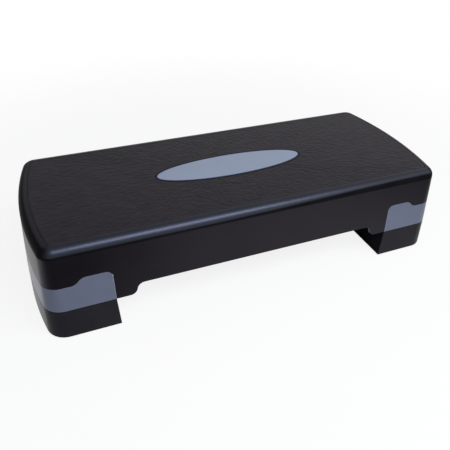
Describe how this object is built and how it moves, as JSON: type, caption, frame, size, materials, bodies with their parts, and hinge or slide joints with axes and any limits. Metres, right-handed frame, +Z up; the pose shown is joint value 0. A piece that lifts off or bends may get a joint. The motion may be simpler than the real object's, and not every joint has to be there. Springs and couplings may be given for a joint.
{
  "type": "aerobic step platform",
  "caption": "Height-adjustable aerobic step: black pebbled platform with a rolled rim and grey oval inlay, grey end bands, and pull-off end risers that raise it to its upper height.",
  "frame": {"origin": "middle of the floor area that the platform covers, at floor level under the risers' rubber pads", "axes": "+X along the platform's length, +Y from its front to its back, +Z up"},
  "size_m": [0.6846, 0.2848, 0.15],
  "materials": {
    "black_shell": "moulded black polypropylene, satin",
    "tread_rubber": "pebbled non-slip surface",
    "grey_inlay": "smooth blue-grey plastic",
    "grey_band": "fine-grained blue-grey plastic",
    "black_riser": "moulded black polypropylene, fine grain",
    "pad_rubber": "matte black rubber",
    "screw_steel": "zinc-plated"
  },
  "bodies": {
    "deck": {"deck_shell": "black_shell", "tread_mat": "tread_rubber", "oval_inlay": "grey_inlay", "left_end_band": "grey_band", "left_band_screws": "screw_steel", "left_band_pad_front_inner": "pad_rubber", "left_band_pad_front_outer": "pad_rubber", "left_band_pad_back_inner": "pad_rubber", "left_band_pad_back_outer": "pad_rubber", "right_end_band": "grey_band", "right_band_screws": "screw_steel", "right_band_pad_front_inner": "pad_rubber", "right_band_pad_front_outer": "pad_rubber", "right_band_pad_back_inner": "pad_rubber", "right_band_pad_back_outer": "pad_rubber"},
    "left_riser": {"left_riser": "black_riser", "left_riser_pad_front_inner": "pad_rubber", "left_riser_pad_front_outer": "pad_rubber", "left_riser_pad_back_inner": "pad_rubber", "left_riser_pad_back_outer": "pad_rubber"},
    "right_riser": {"right_riser": "black_riser", "right_riser_pad_front_inner": "pad_rubber", "right_riser_pad_front_outer": "pad_rubber", "right_riser_pad_back_inner": "pad_rubber", "right_riser_pad_back_outer": "pad_rubber"}
  },
  "joints": [
    {"name": "left_riser_slide", "type": "slide", "parent": "deck", "child": "left_riser", "axis": [0, 0, -1], "range_m": [0, 0.04]},
    {"name": "right_riser_slide", "type": "slide", "parent": "deck", "child": "right_riser", "axis": [0, 0, -1], "range_m": [0, 0.04]}
  ]
}
